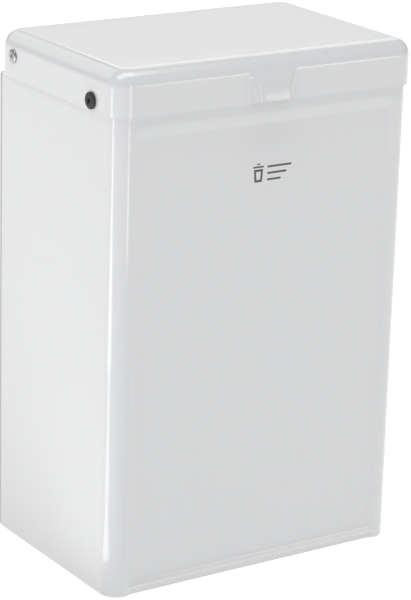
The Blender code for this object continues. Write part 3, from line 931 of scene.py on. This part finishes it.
@dataclass
class Lid:
    """The drawn lid, its finger pull and the two rubber buffers it rests on."""

    half_width: float = 108.0 * MM
    front: float = 142.0 * MM
    rear: float = -1.0 * MM
    edge: float = 301.0 * MM
    top: float = 330.0 * MM
    corner: float = 13.3 * MM
    round: float = 11.5 * MM
    sheet: float = 1.0 * MM
    crown: float = 0.9 * MM
    crown_reach: float = 26 * MM
    pull_half: float = 17.6 * MM
    pull_reach: float = 6.0 * MM
    pull_raise: float = 2.0 * MM
    pull_raise_height: float = 10 * MM
    pull_top: float = 321.5 * MM
    rear_edge: float = 308.2 * MM
    slot_inner: float = 104.2 * MM
    slot_outer: float = 106.3 * MM
    slot_depth: float = 13 * MM
    slot_top: float = 324.0 * MM
    rivet_hole: float = 2.8 * MM
    buffer_hole: float = 3.0 * MM
    buffer_depth: float = 113.5 * MM
    buffer_z: float = 307.2 * MM

    def pull(self, x: float, z: float) -> float:
        """Return how far the finger pull stands out of the front, as a share of its reach."""
        flank = ((0.0, 0.0), (0.7, 0.05), (2.8, 0.42), (5.5, 0.82), (7.0, 0.93), (9.0, 0.98),
                 (12.5, 0.997), (17.6, 1.0))
        shoulder = ((301.0, 1.0), (311.0, 0.76), (313.0, 0.69), (315.0, 0.54), (316.8, 0.36),
                    (318.5, 0.19), (320.2, 0.05), (321.5, 0.0))
        return ease(flank, (self.pull_half - abs(x)) / MM) * ease(shoulder, z / MM)

    def shell(self) -> bpy.types.Object:
        """Build the lid's sheet.

        Returns:
            The visible lid, which stands for the frame's plainer one.
        """
        builder = bmesh.new()
        bmesh.ops.create_cube(builder, size=1.0)
        size = (2 * self.half_width, self.front - self.rear, self.top - self.edge)
        middle = at(0, (self.front + self.rear) / 2, (self.top + self.edge) / 2)
        builder.transform(Matrix.Translation(middle) @ Matrix.Diagonal((*size, 1.0)))
        upright = [e for e in builder.edges
                   if abs(e.verts[0].co.z - e.verts[1].co.z) > size[2] / 2]
        self.rounded(builder, upright, self.corner, 16)
        rim = [e for e in builder.edges if min(v.co.z for v in e.verts) > self.top - 1e-5]
        self.rounded(builder, rim, self.round, 14)
        bottom = [f for f in builder.faces if f.normal.z < -0.9]
        bmesh.ops.delete(builder, geom=bottom, context="FACES")
        self.crown_top(builder)
        self.press_pull(builder)
        obj = new_object("lid_sheet", builder)
        thicken(obj, self.sheet)
        reach = self.slot_inner + 0.4 * MM
        behind, below = -20 * MM, 290 * MM
        cut(obj, block((-reach, behind, below), (reach, self.rear + 7 * MM, self.rear_edge)))
        for side in (-1, 1):
            low, high = sorted((side * self.slot_inner, side * self.slot_outer))
            cut(obj, block((low, behind, below), (high, self.slot_depth, self.slot_top)))
        cut(obj, cross_bar(self.rivet_hole, Body.hinge_depth, Body.hinge_z))
        cut(obj, cross_bar(self.buffer_hole, self.buffer_depth, self.buffer_z))
        finished(obj, Finishes.COAT, sharp=42.0)
        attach(obj, "lid")
        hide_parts("lid")
        return obj

    @staticmethod
    def rounded(builder: bmesh.types.BMesh, edges: list[bmesh.types.BMEdge], radius: float,
                steps: int) -> None:
        """Round some edges of a mesh."""
        bmesh.ops.bevel(builder, geom=edges, offset=radius, offset_type="OFFSET", segments=steps,
                        profile=0.5, affect="EDGES")

    def crown_top(self, builder: bmesh.types.BMesh) -> None:
        """Divide the flat top and let it fall a little towards its edges."""
        flat_x = self.half_width - self.round
        low_y = at(0, self.front - self.round, 0).y
        high_y = at(0, self.rear + self.round, 0).y
        columns = 30
        rows = 20
        planes = []
        for step in range(1, columns):
            planes.append(((flat_x * (2 * step / columns - 1), 0, 0), (1, 0, 0)))
        for step in range(1, rows):
            planes.append(((0, low_y + (high_y - low_y) * step / rows, 0), (0, 1, 0)))
        for point, normal in planes:
            faces = [f for f in builder.faces if f.normal.z > 0.999]
            divide(builder, faces, point, normal)
        for vert in builder.verts:
            x, y = vert.co.x, vert.co.y
            inward = min(flat_x - abs(x), y - low_y, high_y - y)
            share = min(1.0, max(0.0, (vert.co.z - self.edge) / (self.top - self.edge)))
            near = 1.0 - min(1.0, max(0.0, inward) / self.crown_reach)
            vert.co.z -= self.crown * near * near * share**4

    def press_pull(self, builder: bmesh.types.BMesh) -> None:
        """Divide the middle of the front and press the finger pull out of it."""
        front_y = at(0, self.front, 0).y
        half_steps = 26
        for step in range(-half_steps, half_steps + 1):
            place = self.pull_half * step / half_steps
            self.divide_front(builder, front_y, (place, 0, 0), (1, 0, 0))
        for height in [302.0 + 0.9 * step for step in range(19)]:
            self.divide_front(builder, front_y, (0, 0, height * MM), (0, 0, 1))
        for vert in builder.verts:
            behind = vert.co.y > front_y + 1 * MM
            if behind or vert.co.z > self.pull_top or abs(vert.co.x) > self.pull_half:
                continue
            share = self.pull(vert.co.x, vert.co.z)
            flank = self.pull(vert.co.x, self.edge)
            low = max(0.0, 1.0 - (vert.co.z - self.edge) / self.pull_raise_height)
            vert.co.y -= self.pull_reach * share
            vert.co.z += self.pull_raise * flank * low

    def divide_front(self, builder: bmesh.types.BMesh, front_y: float,
                     point: tuple[float, float, float],
                     normal: tuple[float, float, float]) -> None:
        """Divide the front faces near the finger pull along a plane."""
        faces = []
        for face in builder.faces:
            middle = face.calc_center_median()
            near = middle.y < front_y + 0.9 * self.round and face.normal.y < -0.1
            if near and abs(middle.x) < self.half_width - self.corner:
                faces.append(face)
        divide(builder, faces, point, normal)

    def buffers(self, tool: NodeTool) -> bpy.types.Object:
        """Build both rubber buffers: a dished head outside, a neck, and a barrel over the rim."""
        out = 2.3 * MM
        inner = 0.7 * MM
        profile = [(0.0, -5.0 * MM), (2.4 * MM, -5.0 * MM), (3.2 * MM, -4.6 * MM),
                   (3.7 * MM, -3.5 * MM), (3.85 * MM, inner - 0.8 * MM),
                   (3.85 * MM, inner - 0.15 * MM), (3.7 * MM, inner), (2.7 * MM, inner),
                   (2.7 * MM, out), (5.0 * MM, out), (5.2 * MM, out + 0.15 * MM),
                   (5.2 * MM, out + 0.7 * MM)]
        profile += [(4.3 * MM + 0.9 * MM * math.cos(a), out + 0.7 * MM + 0.95 * MM * math.sin(a))
                    for a in (0.3, 0.6, 0.9, 1.2, 1.5)]
        profile += [(3.4 * MM, out + 1.75 * MM), (2.3 * MM, out + 1.8 * MM),
                    (1.9 * MM, out + 1.72 * MM), (1.65 * MM, out + 1.5 * MM),
                    (1.5 * MM, out + 0.6 * MM), (1.3 * MM, out + 0.4 * MM),
                    (0.0, out + 0.35 * MM)]
        piece = lathe("buffer", profile, 64)
        obj = tool.run("lid_buffers", {
            "Piece": piece, "Half Width": Body.half_width,
            "Place": at(0, self.buffer_depth, self.buffer_z),
            "Material": Finishes.RUBBER.material()})
        bpy.data.objects.remove(piece, do_unlink=True)
        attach(obj, "lid")
        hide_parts("lid_buffer_left", "lid_buffer_right")
        return obj


@dataclass
class Hinge:
    """The two rivets that the lid turns on."""

    shank: float = 2.5 * MM
    head: float = 4.2 * MM
    bore: float = 1.3 * MM
    bore_lip: float = 0.45 * MM

    def rivets(self, tool: NodeTool) -> bpy.types.Object:
        """Build both hollow rivets, each with a domed head outside and a rolled tail inside."""
        under, tail = 2.3 * MM, -1.3 * MM
        profile = [(self.bore, tail - 0.85 * MM), (self.bore + 0.5 * MM, tail - 1.0 * MM),
                   (3.1 * MM, tail - 0.95 * MM), (3.6 * MM, tail - 0.7 * MM),
                   (3.8 * MM, tail - 0.4 * MM), (3.8 * MM, tail), (self.shank, tail),
                   (self.shank, under),
                   (self.head - 0.1 * MM, under), (self.head, under + 0.12 * MM),
                   (self.head, under + 0.3 * MM)]
        crest = self.bore + self.bore_lip
        for step in range(1, 9):
            angle = math.radians(90 * step / 8)
            profile.append((crest + (self.head - crest) * math.cos(angle),
                            under + 0.3 * MM + 0.88 * MM * math.sin(angle)))
        profile += [(self.bore + 0.15 * MM, under + 1.1 * MM), (self.bore, under + 0.9 * MM)]
        piece = lathe("rivet", profile, 56)
        obj = tool.run("hinge_rivets", {
            "Piece": piece, "Half Width": Body.half_width,
            "Place": at(0, Body.hinge_depth, Body.hinge_z), "Material": Finishes.RIVET.material()})
        bpy.data.objects.remove(piece, do_unlink=True)
        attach(obj, "bin")
        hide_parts("hinge_rivet_left", "hinge_rivet_right")
        return obj


@dataclass
class BagFrame:
    """The wire loop that a bag is turned over."""

    half_width: float = 99.0 * MM
    rear: float = 8.0 * MM
    front: float = 131.0 * MM
    z: float = 272.0 * MM
    wire: float = 1.49 * MM
    corner: float = 10.0 * MM

    def build(self) -> bpy.types.Object:
        """Bend the loop.

        Returns:
            The wire, which stands for the frame's plainer one.
        """
        obj = wire_loop_tool().run("bag_wire", {
            "Width": 2 * self.half_width, "Depth": self.front - self.rear, "Corner": self.corner,
            "Wire": self.wire, "Centre": at(0, (self.front + self.rear) / 2, self.z),
            "Material": Finishes.WIRE.material()})
        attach(obj, "bag_frame")
        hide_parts("bag_frame")
        return obj


# ---------------------------------------------------------------- studio


@dataclass
class SoftBox:
    """A rectangular studio light that the camera doesn't see.

    Attributes:
        name: Its name.
        place: Its centre, in metres.
        target: The point that it faces.
        along: Direction of its width.
        size: Width and height, in metres.
        radiance: How bright its face is, where a white wall in the surround is below 1.
    """

    name: str
    place: tuple[float, float, float]
    target: tuple[float, float, float]
    along: tuple[float, float, float]
    size: tuple[float, float]
    radiance: float

    def build(self) -> None:
        """Add the light."""
        data = bpy.data.lights.new(self.name, "AREA")
        data.shape = "RECTANGLE"
        data.size, data.size_y = self.size
        data.energy = self.radiance * math.pi * self.size[0] * self.size[1]
        lamp = bpy.data.objects.new(self.name, data)
        back = (Vector(self.place) - Vector(self.target)).normalized()
        side = Vector(self.along) - back * back.dot(Vector(self.along))
        side.normalize()
        turn = Matrix((side, back.cross(side), back)).transposed()
        lamp.matrix_world = Matrix.Translation(self.place) @ turn.to_4x4()
        lamp.visible_camera = False
        bpy.context.scene.collection.objects.link(lamp)


@dataclass
class Studio:
    """A plain white studio: a pale floor, soft boxes, an even surround and the camera.

    Attributes:
        surround: How bright the even surround is.
        floor_tone: The floor's grey.
        floor_glow: How much light the floor gives off, so that it shows as white.
        dome_glow: The same for the dome behind everything.
        dome_radius: The dome's radius in metres.
        azimuth: Where the camera stands, in degrees round from the front.
        elevation: How far it looks down, in degrees.
        roll: How far it is turned about its own axis, in degrees.
        distance: From the camera to what it is aimed at, in metres.
        aim: What it is aimed at: across, depth and height.
        lens: Its focal length in millimetres.
        shift: Its shift across and up.
    """

    surround: float = 0.40
    floor_tone: float = 0.30
    floor_glow: float = 0.86
    dome_glow: float = 0.95
    dome_radius: float = 14.0
    azimuth: float = -33.91
    elevation: float = 17.89
    roll: float = 1.77
    distance: float = 1.65615
    aim: tuple[float, float, float] = (14.89 * MM, 70.0 * MM, 150.16 * MM)
    lens: float = 155.66
    shift: tuple[float, float] = (-0.0225, 0.0103)

    def build(self) -> None:
        """Set the studio up."""
        self.floor()
        self.backdrop()
        self.world()
        boxes = self.low_strips() + self.high_boxes()
        for box in boxes:
            box.build()
            LOG.info("light %s", box.name)
        self.camera()
        bpy.context.scene.view_settings.view_transform = "Standard"

    @staticmethod
    def low_strips() -> list[SoftBox]:
        """Return the strips that lie on the floor and draw the bright lines on the corners."""
        ground = 0.004
        leftwards = (-0.985, 0.174, 0)
        strips = (
            ("low left near", -0.203, -0.042, leftwards, (0.11, 0.05), 2.0),
            ("low left middle", -0.376, -0.011, leftwards, (0.24, 0.09), 2.0),
            ("low left far", -1.04, 0.106, leftwards, (1.1, 0.21), 3.0),
            ("low front", -0.11, -1.15, (0, -1, 0), (0.8, 0.14), 2.8),
        )
        return [SoftBox(name, (x, y, ground), (x, y, 1.0), along, size, radiance)
                for name, x, y, along, size, radiance in strips]

    @staticmethod
    def high_boxes() -> list[SoftBox]:
        """Return the soft boxes that stand or hang around the bin."""
        across = (1, 0, 0)
        middle = (0, 0, 0.2)
        top = (0, 0, 0.3)
        return [
            SoftBox("front strip", (-0.10, -1.45, 0.32), (-0.06, -0.06, 0.25), across,
                    (0.12, 0.5), 4.0),
            SoftBox("front right", (1.1, -1.65, 0.3), middle, across, (0.5, 0.2), 2.5),
            SoftBox("overhead", (-0.2, -0.2, 1.8), middle, across, (2.2, 0.8), 2.8),
            SoftBox("back right high", (1.0, 1.2, 1.35), top, (1, -0.8, 0), (1.1, 0.8), 0.9),
            SoftBox("back wall", (0.95, 1.5, 0.75), top, across, (1.3, 0.7), 0.4),
            SoftBox("back high", (-0.45, 1.5, 1.3), top, across, (1.6, 0.9), 0.6),
        ]

    @staticmethod
    def glowing(name: str, tone: float, specular: float, glow: float) -> bpy.types.Material:
        """Make a plain matt material that gives off some white light.

        Args:
            name: The material's name.
            tone: Its grey.
            specular: How much it mirrors.
            glow: How much light it gives off.

        Returns:
            The material.
        """
        material = bpy.data.materials.new(name)
        material.use_nodes = True
        inputs = material.node_tree.nodes["Principled BSDF"].inputs
        inputs["Base Color"].default_value = (tone, tone, tone, 1.0)
        inputs["Roughness"].default_value = 0.9
        inputs["Specular IOR Level"].default_value = specular
        inputs["Emission Color"].default_value = (1.0, 1.0, 1.0, 1.0)
        inputs["Emission Strength"].default_value = glow
        return material

    def floor(self) -> None:
        """Lay the pale floor."""
        builder = bmesh.new()
        bmesh.ops.create_grid(builder, x_segments=1, y_segments=1, size=9.0)
        obj = new_object("floor", builder)
        obj.data.transform(Matrix.Translation((0, 0, -0.5 * MM)))
        obj.data.materials.append(
            self.glowing("pale floor", self.floor_tone, 0.1, self.floor_glow))

    def backdrop(self) -> None:
        """Put a plain pale dome far behind everything, which lights nothing."""
        builder = bmesh.new()
        bmesh.ops.create_icosphere(builder, subdivisions=4, radius=self.dome_radius)
        bmesh.ops.reverse_faces(builder, faces=builder.faces)
        obj = new_object("backdrop", builder)
        for kind in ("diffuse", "glossy", "transmission", "volume_scatter", "shadow"):
            setattr(obj, f"visible_{kind}", False)
        obj.data.materials.append(self.glowing("pale backdrop", 0.0, 0.0, self.dome_glow))

    def world(self) -> None:
        """Light the surround evenly."""
        world = bpy.data.worlds.new("surround")
        world.use_nodes = True
        background = world.node_tree.nodes["Background"]
        background.inputs["Color"].default_value = (1.0, 1.0, 1.0, 1.0)
        background.inputs["Strength"].default_value = self.surround
        bpy.context.scene.world = world

    def camera(self) -> None:
        """Place the camera: a long lens from the front left, a little above."""
        azimuth = math.radians(self.azimuth)
        elevation = math.radians(self.elevation)
        roll = math.radians(self.roll)
        back = Vector((math.sin(azimuth) * math.cos(elevation),
                       -math.cos(azimuth) * math.cos(elevation), math.sin(elevation)))
        right = (-back).cross(Vector((0, 0, 1))).normalized()
        up = right.cross(-back)
        level = Matrix((right * math.cos(roll) + up * math.sin(roll),
                        up * math.cos(roll) - right * math.sin(roll), back)).transposed()
        data = bpy.data.cameras.new("camera")
        data.sensor_width = 36.0
        data.lens = self.lens
        data.shift_x, data.shift_y = self.shift
        data.clip_start, data.clip_end = 0.05, 60.0
        camera = bpy.data.objects.new("camera", data)
        place = at(*self.aim) + back * self.distance
        camera.matrix_world = Matrix.Translation(place) @ level.to_4x4()
        bpy.context.scene.collection.objects.link(camera)
        bpy.context.scene.camera = camera


def report(obj: bpy.types.Object) -> None:
    """Log a finished piece and its number of faces."""
    LOG.info("%s: %d faces", obj.name, len(obj.data.polygons))


def clear_start_objects() -> None:
    """Remove what a new file starts with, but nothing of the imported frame."""
    kept = set(frame["nodes"].values()) | set(frame["bodies"].values())
    for obj in list(bpy.data.objects):
        if obj not in kept:
            bpy.data.objects.remove(obj, do_unlink=True)


def main() -> None:
    """Build the bin's pieces in order, then the studio."""
    logging.basicConfig(level=logging.INFO, format="%(name)s: %(message)s")
    clear_start_objects()
    pair = mirrored_pair_tool()
    body = Body()
    body.dress()
    report(body.wrap())
    for marks in body.weld_marks(row_tool()):
        report(marks)
    lid = Lid()
    report(lid.shell())
    report(lid.buffers(pair))
    report(Hinge().rivets(pair))
    report(BagFrame().build())
    Studio().build()


if __name__ == "__main__":
    main()
